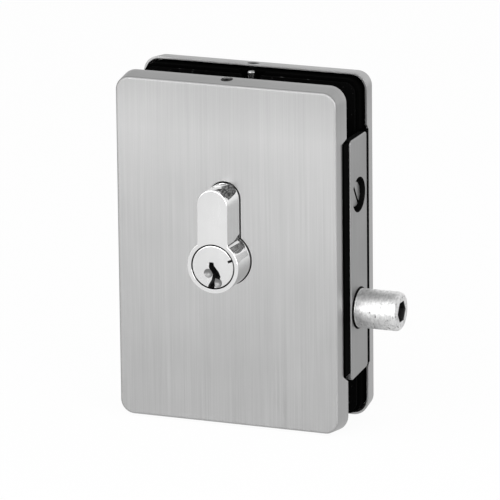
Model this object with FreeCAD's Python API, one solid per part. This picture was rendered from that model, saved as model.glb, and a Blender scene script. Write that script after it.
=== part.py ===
import FreeCAD, Part
import math
import os
from FreeCAD import Vector

# Patch lock for a frameless glass door, in millimetres.
# The origin is where the key axis crosses the middle plane of the glass.
# X runs along the plate towards the bolt, Y through the glass from front to rear, Z up.

# Cover trays
plate_width = 75.0
plate_height = 111.0
plate_corner = 5.3
plate_offset_x = 0.5
plate_offset_z = 1.0
cover_depth = 7.0
cover_draft = 0.85
cover_sheet = 0.8
cover_edge = 0.7
rim_gap = 18.0
relief_height = 78.0
relief_front_depth = 3.0
relief_rear_depth = 1.0
relief_top_slant = 1.1
relief_bottom_slant = 2.0

# Clamping halves and gaskets
glass_gap = 8.0
gasket_thickness = 1.0
gasket_inset = 0.9
body_inset = 0.6
body_edge = 0.5
body_corner = 4.2
lip_sunk = 0.35
lip_gap = 0.25

# Face plate at the door's edge
forend_height = 77.1
forend_width = 14.2
forend_thickness = 2.4
forend_corner = 1.2
forend_edge = 0.35
forend_proud = 0.5
forend_offset_z = 0.1
forend_end_slant = 1.2
forend_seat_gap = 0.6
peg_radius = 1.6
peg_length = 1.2

# Lock case
case_left_x = -24.0
case_top_z = 31.0
case_bottom_z = -31.5
case_thickness = 14.8
case_corner = 1.5
case_wall = 1.0
lid_thickness = 1.0
chamber_left_x = -22.5
chamber_right_x = 22.5
chamber_top_z = 21.0
chamber_bottom_z = -23.5
post_radius = 2.5
post_places = ((-19.5, 17.5), (19.5, 12.0), (-19.5, -2.0), (19.5, -2.0))
lid_screw_radius = 1.5
lid_screw_head = 2.3
lid_screw_length = 6.0
lid_slot_width = 0.6
lid_slot_depth = 0.5

# Round bolt and its carriage
bolt_radius = 6.2
bolt_height_z = -16.5
bolt_throw = 14.0
bolt_length = 27.0
bolt_nose = 1.3
bolt_groove_gap = 0.5
bolt_groove_width = 0.6
bolt_groove_depth = 0.2
bolt_socket_flats = 6.0
bolt_socket_depth = 4.0
forend_bolt_hole = 6.45
carriage_thickness = 3.0
carriage_left_x = -6.5
carriage_bar_height = 5.0
carriage_overlap = 7.5
carriage_shoulder_x = 21.5
carriage_bottom_z = -20.6
rack_first = -1
rack_last = 5
bolt_pin_radius = 1.5
bolt_pin_length = 10.4

# Flat spring that rubs on the carriage
leaf_left_x = -6.0
leaf_span = 16.4
leaf_width = 4.0
leaf_thickness = 0.4

# Profile cylinder, with its leg upwards
barrel_radius = 8.5
leg_width = 10.0
leg_end_z = 24.5
cylinder_length = 53.0
cylinder_chamfer = 0.35
plug_radius = 6.5
plug_collar_radius = 7.15
plug_collar_depth = 1.6
plug_tail_radius = 4.0
plug_tail_end = 1.8
plug_shoulder = 4.2
cam_thickness = 8.0
cam_module = 1.2
cam_teeth = 12
cam_addendum = 1.0
cam_dedendum = 1.25
cam_flank_angle = 20.0
cam_mesh_gap = 0.05
roll_limit = 60.0
roll_steps = 240
flank_steps = 8
cam_gap_half = 5.4
cam_room_reach = 15.7
clip_thickness = 0.55
clip_groove_y = 4.72
clip_inner_radius = 5.9
clip_outer_radius = 7.7
clip_opening = 5.0
coupler_half = 1.6
coupler_rib_half = 0.9
coupler_rib_depth = 0.5
fixing_height_z = 20.0
fixing_radius = 2.5
fixing_head_radius = 4.0
fixing_head_rim = 1.3
fixing_cone = 1.5
fixing_slot_width = 1.0
fixing_slot_depth = 0.9
fixing_slot_turn = -57.0
fixing_end_x = -4.0
forend_fixing_hole = 5.45

# Pins of the cylinder
pin_count = 5
pin_first = 4.4
pin_last_reach = 2.43
pin_radius_share = 0.403
keyway_top_z = 1.5
key_pin_length = 4.2
driver_pin_length = 4.0
spring_wall = 0.35
stopper_length = 3.0
stopper_sunk = 0.3

# Screws that hold the halves and the covers
clamp_places = ((-18.0, 26.5), (29.0, 26.5), (-18.0, -27.5), (29.0, -27.5))
clamp_radius = 2.5
clamp_head_radius = 4.25
clamp_head_height = 4.8
clamp_socket_flats = 4.0
clamp_socket_depth = 2.5
clamp_end_cover = 2.0
cover_screw_x = -0.7
cover_screw_from_rim = 2.2
cover_screw_radius = 1.75
cover_screw_length = 6.0
cover_screw_socket = 1.6
cover_screw_socket_depth = 1.5
cover_screw_sunk = 0.45
cover_hole_radius = 1.9
stop_screw_x = 0.9
stop_screw_radius = 1.2
stop_recess_width = 6.0
stop_recess_height = 6.5
stop_recess_depth = 1.6
stop_recess_flare = 1.5

# Fits
running_gap = 0.05
seat_gap = 0.02
loose_gap = 0.3
pocket_gap = 0.1
cover_opening_gap = 0.25
cut_over = 5.0

# Places that follow from the sizes above
rim_y = rim_gap / 2
face_y = rim_y + cover_depth
shell_y = face_y - cover_sheet
gasket_y = glass_gap / 2
body_y = gasket_y + gasket_thickness
case_y = case_thickness / 2
chamber_y = case_y - case_wall
pocket_y = case_y + pocket_gap
body_width = plate_width - 2 * (cover_sheet + body_inset)
body_height = plate_height - 2 * (cover_sheet + body_inset)
body_top_z = plate_offset_z + body_height / 2
body_bottom_z = plate_offset_z - body_height / 2
body_right_x = plate_offset_x + body_width / 2
forend_face_x = plate_offset_x + plate_width / 2 + forend_proud
forend_back_x = forend_face_x - forend_thickness
lip_face_x = forend_face_x - lip_sunk
forend_top_z = forend_offset_z + forend_height / 2
forend_bottom_z = forend_offset_z - forend_height / 2
bolt_end_x = forend_face_x + bolt_throw
bolt_tail_x = bolt_end_x - bolt_length
carriage_top_z = bolt_height_z + 4.0
cam_pitch_radius = cam_module * cam_teeth / 2
cam_outer_radius = cam_pitch_radius + cam_module * cam_addendum
cam_root_radius = cam_pitch_radius - cam_module * cam_dedendum
rack_pitch = math.pi * cam_module
rack_root_z = -cam_pitch_radius - cam_module * cam_dedendum
rack_tip_z = -cam_pitch_radius + cam_module * cam_addendum
cylinder_end_y = cylinder_length / 2
pin_last_y = clip_groove_y + clip_thickness + pin_last_reach
pin_pitch = (cylinder_end_y - pin_first - pin_last_y) / (pin_count - 1)
pin_radius = pin_pitch * pin_radius_share
clamp_seat_y = shell_y - clamp_head_height - pocket_gap
cover_screw_y = rim_y + cover_screw_from_rim
along_x = Vector(1, 0, 0)
along_y = Vector(0, 1, 0)
along_z = Vector(0, 0, 1)


def rounded_wire(width, height, corner, y):
    # Rectangle with round corners in a plane across Y, centred on the plate.
    half_w = width / 2
    half_h = height / 2
    bend = corner * (1 - math.sqrt(0.5))
    edges = []
    for turn in range(4):
        long_half = half_w if turn % 2 == 0 else half_h
        far_half = half_h if turn % 2 == 0 else half_w
        points = (
            (-long_half + corner, far_half),
            (long_half - corner, far_half),
            (long_half - bend, far_half - bend),
            (long_half, far_half - corner),
        )
        angle = -math.pi / 2 * turn
        cos_a = round(math.cos(angle))
        sin_a = round(math.sin(angle))
        placed = []
        for px, pz in points:
            x = plate_offset_x + px * cos_a - pz * sin_a
            z = plate_offset_z + px * sin_a + pz * cos_a
            placed.append(Vector(x, y, z))
        edges.append(Part.LineSegment(placed[0], placed[1]).toShape())
        edges.append(Part.Arc(placed[1], placed[2], placed[3]).toShape())
    return Part.Wire(edges)


def stacked_plate(width, height, corner, sections):
    # Ruled body through round-cornered outlines; each section is (y, inset).
    wires = []
    for y, inset in sections:
        radius = max(corner - inset, 0.5)
        wires.append(rounded_wire(width - 2 * inset, height - 2 * inset, radius, y))
    return Part.makeLoft(wires, True, True)


def flat_prism(points, y_from, y_to):
    # Outline given as (x, z) corners, pushed along Y.
    corners = [Vector(x, y_from, z) for x, z in points]
    corners.append(corners[0])
    face = Part.Face(Part.makePolygon(corners))
    return face.extrude(Vector(0, y_to - y_from, 0))


def box_between(x_pair, y_pair, z_pair):
    low = Vector(min(x_pair), min(y_pair), min(z_pair))
    size = (abs(x_pair[1] - x_pair[0]), abs(y_pair[1] - y_pair[0]), abs(z_pair[1] - z_pair[0]))
    return Part.makeBox(size[0], size[1], size[2], low)


def rod_y(radius, x, z, y_from, y_to):
    low = min(y_from, y_to)
    return Part.makeCylinder(radius, abs(y_to - y_from), Vector(x, low, z), along_y)


def rod_x(radius, y, z, x_from, x_to):
    low = min(x_from, x_to)
    return Part.makeCylinder(radius, abs(x_to - x_from), Vector(low, y, z), along_x)


def rod_z(radius, x, y, z_from, z_to):
    low = min(z_from, z_to)
    return Part.makeCylinder(radius, abs(z_to - z_from), Vector(x, y, low), along_z)


def hexagon(flats, centre, direction, depth):
    # Six-sided bar, used to sink sockets.
    radius = flats / math.sqrt(3)
    side = Vector(0, 0, 1) if abs(direction.z) < 0.5 else Vector(1, 0, 0)
    other = direction.cross(side)
    corners = []
    for step in range(7):
        angle = math.radians(60 * step)
        corners.append(centre + side * (radius * math.cos(angle)) + other * (radius * math.sin(angle)))
    return Part.Face(Part.makePolygon(corners)).extrude(direction * depth)


def edges_along(shape, direction, reach):
    # Straight edges that run with a direction and are at least as long as reach.
    found = []
    for edge in shape.Edges:
        if edge.Curve.TypeId != "Part::GeomLine" or edge.Length < reach:
            continue
        tangent = edge.tangentAt(edge.FirstParameter)
        if abs(abs(tangent.dot(direction)) - 1) < 1e-6:
            found.append(edge)
    return found


def fused(shapes):
    first = shapes[0]
    if len(shapes) == 1:
        return first
    return first.fuse(shapes[1:]).removeSplitter()


def profile_prism(gap, y_from, y_to):
    # Standard lock profile: a round barrel with a narrow round-ended leg above it.
    half_leg = leg_width / 2 + gap
    leg_centre_z = leg_end_z - leg_width / 2
    barrel = rod_y(barrel_radius + gap, 0, 0, y_from, y_to)
    leg = box_between((-half_leg, half_leg), (y_from, y_to), (0, leg_centre_z))
    tip = rod_y(half_leg, 0, leg_centre_z, y_from, y_to)
    return fused([barrel, leg, tip])


def cover_tray(side, relief_depth):
    # Shallow stainless tray: drafted wall, rounded face edge, thin sheet.
    shoulder_inset = cover_draft * (cover_depth - cover_edge) / cover_depth
    sections = [(side * rim_y, 0.0)]
    for step in range(5):
        angle = math.radians(22.5 * step)
        y = face_y - cover_edge + cover_edge * math.sin(angle)
        sections.append((side * y, shoulder_inset + cover_edge * (1 - math.cos(angle))))
    outside = stacked_plate(plate_width, plate_height, plate_corner, sections)
    slope = cover_draft / cover_depth
    hollow_sections = [(side * (rim_y - 1.0), cover_sheet - slope)]
    hollow_sections.append((side * shell_y, cover_sheet + slope * (shell_y - rim_y)))
    hollow = stacked_plate(plate_width, plate_height, plate_corner, hollow_sections)
    tray = outside.cut(hollow)
    tray = tray.cut(profile_prism(cover_opening_gap, side * rim_y, side * (face_y + 1)))
    tray = tray.cut(edge_relief(side, relief_depth))
    for end in (-1, 1):
        wall_z = plate_offset_z + end * plate_height / 2
        hole = rod_z(cover_hole_radius, cover_screw_x, side * cover_screw_y, wall_z - 4, wall_z + 4)
        tray = tray.cut(hole)
    return tray


def relief_slants(depth):
    # Heights over which the two ends of a relief slope, no steeper than one to one.
    return min(relief_top_slant, depth), min(relief_bottom_slant, depth)


def edge_relief(side, depth):
    # Slant-ended cut in the bolt-side wall, open to the rim.
    half = relief_height / 2
    top_slant, bottom_slant = relief_slants(depth)
    right_x = plate_offset_x + plate_width / 2
    outline = (
        (rim_y - 1, half + top_slant / depth),
        (rim_y + depth, half - top_slant),
        (rim_y + depth, -half + bottom_slant),
        (rim_y - 1, -half - bottom_slant / depth),
    )
    corners = [Vector(right_x - 4, side * y, plate_offset_z + z) for y, z in outline]
    corners.append(corners[0])
    return Part.Face(Part.makePolygon(corners)).extrude(Vector(8, 0, 0))


def stop_recess(side, y_from, y_to):
    # Flared notch in the top edge, where the stop screw stands.
    half = stop_recess_width / 2
    top = body_top_z
    outline = (
        (stop_screw_x - half - stop_recess_flare, top + 1),
        (stop_screw_x - half - stop_recess_flare, top),
        (stop_screw_x - half, top - stop_recess_flare),
        (stop_screw_x - half, top - stop_recess_height),
        (stop_screw_x + half, top - stop_recess_height),
        (stop_screw_x + half, top - stop_recess_flare),
        (stop_screw_x + half + stop_recess_flare, top),
        (stop_screw_x + half + stop_recess_flare, top + 1),
    )
    return flat_prism(outline, side * y_from, side * y_to)


def forend_seat():
    # Room for the face plate between the lips of both halves.
    return box_between(
        (forend_back_x, forend_back_x + cut_over),
        (-pocket_y, pocket_y),
        (forend_bottom_z - forend_seat_gap, forend_top_z + forend_seat_gap),
    )


def edge_lip(side, relief_depth):
    # Raised lip beside the face plate, standing in the relief of the cover's wall.
    half = relief_height / 2
    top_slant, bottom_slant = relief_slants(relief_depth)
    return box_between(
        (body_right_x - 1, lip_face_x),
        (side * (pocket_y - 1), side * (rim_y + relief_depth - lip_gap)),
        (plate_offset_z - half + bottom_slant + lip_gap, plate_offset_z + half - top_slant - lip_gap),
    )


def clamp_half(side, relief_depth):
    # Cast half: pocket for the case, lip beside the face plate, opening for the cylinder, screw holes.
    draft = cover_draft * (shell_y - rim_y) / cover_depth
    sections = (
        (side * body_y, body_edge),
        (side * (body_y + body_edge), 0.0),
        (side * rim_y, 0.0),
        (side * shell_y, draft),
    )
    plain = stacked_plate(body_width, body_height, body_corner, sections)
    half = fused([plain, edge_lip(side, relief_depth)])
    pocket = box_between(
        (case_left_x - loose_gap, body_right_x + cut_over),
        (side * (body_y - 1), side * pocket_y),
        (case_bottom_z - loose_gap, case_top_z + loose_gap),
    )
    tools = [pocket, forend_seat(), profile_prism(loose_gap, side * (body_y - 1), side * face_y)]
    tools.append(stop_recess(side, body_y - 1, body_y + stop_recess_depth))
    for x, z in clamp_places:
        hole_radius = clamp_radius + (loose_gap if side < 0 else seat_gap)
        tools.append(rod_y(hole_radius, x, z, side * (body_y - 1), side * face_y))
        if side < 0:
            tools.append(rod_y(clamp_head_radius + loose_gap, x, z, side * clamp_seat_y, side * face_y))
    for end in (-1, 1):
        wall_z = plate_offset_z + end * body_height / 2
        inner_z = wall_z - end * (cover_screw_length + 1)
        tools.append(rod_z(cover_screw_radius + seat_gap, cover_screw_x, side * cover_screw_y,
                           inner_z, wall_z + end))
    for tool in tools:
        half = half.cut(tool)
    return half


def gasket(side):
    # Sheet between the half and the glass, open round the case.
    sections = ((side * gasket_y, 0.0), (side * body_y, 0.0))
    sheet = stacked_plate(
        body_width - 2 * gasket_inset,
        body_height - 2 * gasket_inset,
        body_corner - gasket_inset,
        sections,
    )
    case_room = box_between(
        (case_left_x - 2 * loose_gap, body_right_x + cut_over),
        (-body_y - 1, body_y + 1),
        (case_bottom_z - 2 * loose_gap, case_top_z + 2 * loose_gap),
    )
    sheet = sheet.cut(case_room)
    sheet = sheet.cut(forend_seat())
    return sheet.cut(stop_recess(side, gasket_y - 1, body_y + 1))


def face_plate():
    # Flat bar with round corners and a slanted lower end, the bolt hole and the cylinder screw hole.
    half_w = forend_width / 2
    outline = (
        (-half_w, forend_bottom_z),
        (half_w, forend_bottom_z + forend_end_slant),
        (half_w, forend_top_z),
        (-half_w, forend_top_z),
    )
    corners = [Vector(forend_back_x, y, z) for y, z in outline]
    corners.append(corners[0])
    plate = Part.Face(Part.makePolygon(corners)).extrude(Vector(forend_thickness, 0, 0))
    plate = plate.makeFillet(forend_corner, edges_along(plate, along_x, forend_thickness - 0.01))
    front = [e for e in plate.Edges if e.BoundBox.XMin > forend_face_x - 0.001]
    plate = plate.makeChamfer(forend_edge, front)
    before = forend_back_x - 1
    after = forend_face_x + 1
    plate = plate.cut(rod_x(forend_bolt_hole, 0, bolt_height_z, before, after))
    plate = plate.cut(rod_x(forend_fixing_hole, 0, fixing_height_z, before, after))
    for z in peg_heights():
        plate = plate.cut(rod_x(peg_radius + seat_gap, 0, z, before, forend_back_x + peg_length + seat_gap))
    return plate


def peg_heights():
    return (case_top_z - 2 * peg_radius, case_bottom_z + 2 * peg_radius)


def lock_case():
    # Cast case: chamber open to the rear, bolt bore, posts for the lid, pegs for the face plate.
    case = box_between((case_left_x, forend_back_x), (-case_y, case_y), (case_bottom_z, case_top_z))
    left_edges = [e for e in edges_along(case, along_y, 1) if e.BoundBox.XMax < case_left_x + 0.001]
    case = case.makeFillet(case_corner, left_edges)
    chamber = box_between(
        (chamber_left_x, chamber_right_x), (-chamber_y, case_y + 1), (chamber_bottom_z, chamber_top_z)
    )
    case = case.cut(chamber)
    posts = []
    for x, z in post_places:
        posts.append(rod_y(post_radius, x, z, -chamber_y - case_wall / 2, case_y - lid_thickness))
    case = fused([case] + posts)
    case = case.cut(profile_prism(loose_gap, -case_y - 1, case_y + 1))
    bore_from = chamber_right_x - 1
    case = case.cut(rod_x(bolt_radius + running_gap, 0, bolt_height_z, bore_from, forend_back_x + 1))
    case = case.cut(rod_x(fixing_radius + loose_gap / 2, 0, fixing_height_z, 0, forend_back_x + 1))
    case = case.cut(fixing_head_cone(seat_gap))
    for x, z in clamp_places:
        case = case.cut(rod_y(clamp_radius + loose_gap / 2, x, z, -case_y - 1, case_y + 1))
    for x, z in post_places:
        depth_y = case_y - lid_thickness - lid_screw_length
        case = case.cut(rod_y(lid_screw_radius + seat_gap, x, z, depth_y, case_y + 1))
    pegs = []
    for z in peg_heights():
        pegs.append(rod_x(peg_radius, 0, z, forend_back_x - 1, forend_back_x + peg_length))
    return fused([case] + pegs)


def case_lid():
    # Sheet that closes the chamber and lies on the posts.
    lid = box_between(
        (chamber_left_x + running_gap, chamber_right_x - running_gap),
        (case_y - lid_thickness, case_y),
        (chamber_bottom_z + running_gap, chamber_top_z - running_gap),
    )
    lid = lid.cut(profile_prism(loose_gap, case_y - lid_thickness - 1, case_y + 1))
    for x, z in post_places:
        lid = lid.cut(lid_screw(x, z, seat_gap))
    return lid


def lid_screw(x, z, gap):
    # Countersunk screw whose head ends flush with the lid.
    seat_y = case_y - lid_thickness
    head = Part.makeCone(
        lid_screw_radius + gap, lid_screw_head + gap, lid_thickness, Vector(x, seat_y, z), along_y
    )
    shank = rod_y(lid_screw_radius + gap, x, z, seat_y - lid_screw_length + 0.5, seat_y + 0.2)
    return fused([head, shank])


def lid_screws():
    screws = []
    for x, z in post_places:
        screw = lid_screw(x, z, 0.0)
        reach = 2 * lid_screw_head
        half = lid_slot_width / 2
        slot = box_between((x - reach, x + reach), (case_y - lid_slot_depth, case_y + 1), (z - half, z + half))
        screws.append(screw.cut(slot))
    return Part.makeCompound(screws)


def clamp_screws():
    # Socket screws that pull the rear half to the front half.
    screws = []
    end_y = shell_y - clamp_end_cover
    for x, z in clamp_places:
        head_top = -clamp_seat_y - clamp_head_height
        head = rod_y(clamp_head_radius, x, z, head_top, -clamp_seat_y)
        head = head.cut(hexagon(clamp_socket_flats, Vector(x, head_top, z), along_y, clamp_socket_depth))
        shank = rod_y(clamp_radius, x, z, -clamp_seat_y - 0.1, end_y)
        screws.append(fused([head, shank]))
    return Part.makeCompound(screws)


def cover_screws():
    # Grub screws in the halves; their ends stand in the holes of the cover walls.
    screws = []
    for side in (-1, 1):
        for end in (-1, 1):
            outer_z = plate_offset_z + end * (plate_height / 2 - cover_screw_sunk)
            inner_z = plate_offset_z + end * body_height / 2 - end * cover_screw_length
            screw = rod_z(cover_screw_radius, cover_screw_x, side * cover_screw_y, inner_z, outer_z)
            centre = Vector(cover_screw_x, side * cover_screw_y, outer_z)
            socket = hexagon(cover_screw_socket, centre, along_z * (-end), cover_screw_socket_depth)
            screws.append(screw.cut(socket))
    return Part.makeCompound(screws)


def stop_screws():
    # Small upright screws that stand in the flared notches of both halves.
    screws = []
    for side in (-1, 1):
        y = side * (body_y + stop_recess_depth - stop_screw_radius)
        screw = rod_z(stop_screw_radius, stop_screw_x, y, body_top_z - stop_recess_height, body_top_z)
        screws.append(screw)
    return Part.makeCompound(screws)


def leaf_spring():
    # Bowed strip: its ends lie on the chamber floor, its crown under the carriage.
    left = leaf_left_x
    right = leaf_left_x + leaf_span
    middle = (left + right) / 2
    floor = chamber_bottom_z
    crown = carriage_bottom_z - running_gap
    half_w = leaf_width / 2
    top_arc = Part.Arc(
        Vector(left, -half_w, floor + leaf_thickness),
        Vector(middle, -half_w, crown),
        Vector(right, -half_w, floor + leaf_thickness),
    ).toShape()
    low_arc = Part.Arc(
        Vector(right, -half_w, floor),
        Vector(middle, -half_w, crown - leaf_thickness),
        Vector(left, -half_w, floor),
    ).toShape()
    right_end = Part.makeLine(Vector(right, -half_w, floor + leaf_thickness), Vector(right, -half_w, floor))
    left_end = Part.makeLine(Vector(left, -half_w, floor), Vector(left, -half_w, floor + leaf_thickness))
    outline = Part.Wire([top_arc, right_end, low_arc, left_end])
    return Part.Face(outline).extrude(Vector(0, leaf_width, 0))


def deadbolt():
    # Turned bolt: rounded nose with a six-sided socket, a fine ring that shows full throw, slotted tail.
    bolt = rod_x(bolt_radius, 0, bolt_height_z, bolt_tail_x, bolt_end_x)
    nose = [e for e in bolt.Edges if e.BoundBox.XMin > bolt_end_x - 0.001]
    bolt = bolt.makeFillet(bolt_nose, nose)
    groove_x = forend_face_x + bolt_groove_gap
    groove = rod_x(bolt_radius + 1, 0, bolt_height_z, groove_x, groove_x + bolt_groove_width)
    kept = rod_x(bolt_radius - bolt_groove_depth, 0, bolt_height_z, groove_x - 1, groove_x + bolt_groove_width + 1)
    bolt = bolt.cut(groove.cut(kept))
    socket = hexagon(
        bolt_socket_flats, Vector(bolt_end_x - bolt_socket_depth, 0, bolt_height_z), along_x, bolt_socket_depth + 1
    )
    bolt = bolt.cut(socket)
    half_slot = carriage_thickness / 2 + seat_gap
    slot = box_between(
        (bolt_tail_x - 1, bolt_tail_x + carriage_overlap + seat_gap),
        (-half_slot, half_slot),
        (bolt_height_z - 2 * bolt_radius, bolt_height_z + 2 * bolt_radius),
    )
    bolt = bolt.cut(slot)
    pin_x = bolt_tail_x + carriage_overlap / 2
    return bolt.cut(rod_y(bolt_pin_radius + seat_gap, pin_x, bolt_height_z, -bolt_radius, bolt_radius))


def rack_tooth(centre_x, gap):
    # Corners of one straight-flanked tooth, from its left foot to its right foot, grown by the gap.
    slope = math.tan(math.radians(cam_flank_angle))
    grown = gap / math.cos(math.radians(cam_flank_angle))
    half_pitch = rack_pitch / 4 + grown
    foot = half_pitch + slope * (-cam_pitch_radius - rack_root_z)
    tip = half_pitch - slope * (rack_tip_z + gap + cam_pitch_radius)
    return (
        (centre_x - foot, rack_root_z),
        (centre_x - tip, rack_tip_z + gap),
        (centre_x + tip, rack_tip_z + gap),
        (centre_x + foot, rack_root_z),
    )


def bolt_carriage():
    # Flat driver with a rack on top that the toothed cam moves.
    half = carriage_thickness / 2
    right = bolt_tail_x + carriage_overlap
    outline = [
        (carriage_left_x, carriage_bottom_z),
        (right, carriage_bottom_z),
        (right, carriage_top_z),
        (carriage_shoulder_x, carriage_top_z),
        (carriage_shoulder_x, rack_root_z),
    ]
    for index in range(rack_last, rack_first - 1, -1):
        outline.extend(reversed(rack_tooth(index * rack_pitch, 0.0)))
    outline.append((carriage_left_x, rack_root_z))
    plate = flat_prism(outline, -half, half)
    pin_x = bolt_tail_x + carriage_overlap / 2
    return plate.cut(rod_y(bolt_pin_radius + seat_gap, pin_x, bolt_height_z, -half - 1, half + 1))


def bolt_pin():
    pin_x = bolt_tail_x + carriage_overlap / 2
    return rod_y(bolt_pin_radius, pin_x, bolt_height_z, -bolt_pin_length / 2, bolt_pin_length / 2)


def pin_places(side):
    # Positions of the pin holes along one side of the cylinder.
    places = []
    for index in range(pin_count):
        places.append(side * (cylinder_end_y - pin_first - pin_pitch * index))
    return places


def cylinder_body():
    # Profile body: two plug bores, gap for the cam, pin holes, screw hole in the bridge.
    body = profile_prism(0.0, -cylinder_end_y, cylinder_end_y)
    end_edges = [e for e in body.Edges if abs(abs(e.CenterOfMass.y) - cylinder_end_y) < 0.001]
    body = body.makeChamfer(cylinder_chamfer, end_edges)
    reach = cam_room_reach
    cam_room = box_between((-reach, reach), (-cam_gap_half, cam_gap_half), (-reach, reach))
    body = body.cut(cam_room)
    for side in (-1, 1):
        inner = side * (cam_gap_half - 1)
        outer = side * (cylinder_end_y + 1)
        body = body.cut(rod_y(plug_radius + running_gap, 0, 0, inner, outer))
        collar_seat = side * (cylinder_end_y - plug_collar_depth - running_gap)
        body = body.cut(rod_y(plug_collar_radius + running_gap, 0, 0, collar_seat, outer))
        for y in pin_places(side):
            body = body.cut(rod_z(pin_radius + running_gap, 0, y, 0, leg_end_z + 1))
    hole = rod_x(fixing_radius + seat_gap, 0, fixing_height_z, -leg_width, leg_width)
    return body.cut(hole)


def keyway(y_from, y_to):
    # Wavy key slot, open at the underside of the plug.
    outline = (
        (-1.1, keyway_top_z),
        (0.3, keyway_top_z),
        (0.45, keyway_top_z - 1.0),
        (2.0, keyway_top_z - 2.9),
        (2.6, keyway_top_z - 4.6),
        (2.2, keyway_top_z - 6.3),
        (1.0, keyway_top_z - 5.4),
        (0.8, keyway_top_z - 6.6),
        (1.2, keyway_top_z - 7.6),
        (0.3, -plug_collar_radius - 1),
        (-1.9, -plug_collar_radius - 1),
        (-1.5, keyway_top_z - 7.4),
        (-0.4, keyway_top_z - 5.6),
        (0.0, keyway_top_z - 3.8),
        (-1.3, keyway_top_z - 1.7),
    )
    return flat_prism(outline, y_from, y_to)


def plug(side):
    # Collared plug with key slot and pin holes; the tail turns in the cam.
    end = side * cylinder_end_y
    collar = rod_y(plug_collar_radius, 0, 0, end, end - side * plug_collar_depth)
    barrel = rod_y(plug_radius, 0, 0, end - side * plug_collar_depth / 2, side * plug_shoulder)
    tail = rod_y(plug_tail_radius, 0, 0, side * (plug_shoulder + 1), side * plug_tail_end)
    core = fused([collar, barrel, tail])
    groove_from = side * clip_groove_y
    groove_to = side * (clip_groove_y + clip_thickness + 2 * seat_gap)
    ring = rod_y(plug_radius + 1, 0, 0, groove_from, groove_to)
    ring = ring.cut(rod_y(clip_inner_radius, 0, 0, groove_from - side, groove_to + side))
    core = core.cut(ring)
    core = core.cut(keyway(side * (plug_shoulder + 2), end + side))
    for y in pin_places(side):
        core = core.cut(rod_z(pin_radius + running_gap, 0, y, keyway_top_z - 0.5, plug_radius + 2))
    return core


def key_pins(side):
    # Pins inside the plug, lifted to the shear line as a key lifts them.
    pins = []
    top_z = plug_radius - 3 * running_gap
    for y in pin_places(side):
        body = rod_z(pin_radius, 0, y, top_z - key_pin_length + pin_radius / 2, top_z)
        tip_z = top_z - key_pin_length
        tip = Part.makeCone(pin_radius / 2, pin_radius, pin_radius / 2, Vector(0, y, tip_z), along_z)
        pins.append(fused([tip, body]))
    return Part.makeCompound(pins)


def driver_pins():
    pins = []
    low_z = plug_radius + 3 * running_gap
    for side in (-1, 1):
        for y in pin_places(side):
            pins.append(rod_z(pin_radius, 0, y, low_z, low_z + driver_pin_length))
    return Part.makeCompound(pins)


def pin_springs():
    # Each coil is a plain tube as long as the pressed spring.
    springs = []
    low_z = plug_radius + 3 * running_gap + driver_pin_length
    top_z = leg_end_z - stopper_length - stopper_sunk
    for side in (-1, 1):
        for y in pin_places(side):
            outer = rod_z(pin_radius - running_gap, 0, y, low_z, top_z)
            inner = rod_z(pin_radius - running_gap - spring_wall, 0, y, low_z - 1, top_z + 1)
            springs.append(outer.cut(inner))
    return Part.makeCompound(springs)


def pin_stoppers():
    # Slugs that close the pin holes, ending just under the round end of the leg.
    slugs = []
    top_z = leg_end_z - stopper_sunk
    for side in (-1, 1):
        for y in pin_places(side):
            slugs.append(rod_z(pin_radius + running_gap - seat_gap, 0, y, top_z - stopper_length, top_z))
    return Part.makeCompound(slugs)


def retaining_clip(side):
    # Open ring in the plug's groove.
    low = side * (clip_groove_y + seat_gap)
    high = side * (clip_groove_y + seat_gap + clip_thickness)
    ring = rod_y(clip_outer_radius, 0, 0, low, high)
    ring = ring.cut(rod_y(clip_inner_radius + seat_gap, 0, 0, low - side, high + side))
    mouth = box_between((-clip_opening / 2, clip_opening / 2), (low - side, high + side), (-20, 0))
    return ring.cut(mouth)


def tooth_space_half_angle(radius):
    # Half the angle that one rack tooth, rolling on the pitch circle, sweeps free at this radius.
    # On its flank radius * sin(angle - lean) * stretch = reach; above its tip the tooth sweeps nothing.
    corner = rack_tooth(0.0, cam_mesh_gap)[2]
    lean = math.radians(cam_flank_angle)
    slope = math.tan(lean)
    stretch = math.sqrt(1 + slope * slope)
    tip_angle = math.acos(min(1.0, -corner[1] / radius))
    widest = 0.0
    for step in range(-roll_steps, roll_steps + 1):
        turn = math.radians(roll_limit * step / roll_steps)
        shift = cam_pitch_radius * turn
        reach = (shift + corner[0] + slope * corner[1]) / (radius * stretch)
        if abs(reach) >= 1:
            continue
        angle = min(lean + math.asin(reach), tip_angle)
        if radius * math.sin(angle) < shift - corner[0]:
            continue
        widest = max(widest, angle - turn)
    return widest


def space_outline():
    # Pairs of radius and half angle, from the root to the tip of one gap between teeth.
    lowest = -rack_tooth(0.0, cam_mesh_gap)[2][1]
    pairs = [(cam_root_radius, tooth_space_half_angle(lowest + 0.01))]
    for index in range(flank_steps + 1):
        radius = lowest + 0.01 + (cam_outer_radius - lowest - 0.01) * index / flank_steps
        pairs.append((radius, tooth_space_half_angle(radius)))
    return pairs


def cam():
    # Toothed ring on the plug tails; a gap between two teeth points straight down at rest.
    half = cam_thickness / 2
    pairs = space_outline()
    pitch_angle = 2 * math.pi / cam_teeth
    points = []
    for tooth in range(cam_teeth):
        middle = -math.pi / 2 + tooth * pitch_angle
        for radius, angle in reversed(pairs):
            points.append((radius * math.cos(middle - angle), radius * math.sin(middle - angle)))
        for radius, angle in pairs:
            points.append((radius * math.cos(middle + angle), radius * math.sin(middle + angle)))
    ring = flat_prism(points, -half, half)
    return ring.cut(rod_y(plug_tail_radius + running_gap, 0, 0, -half - 1, half + 1))


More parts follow.
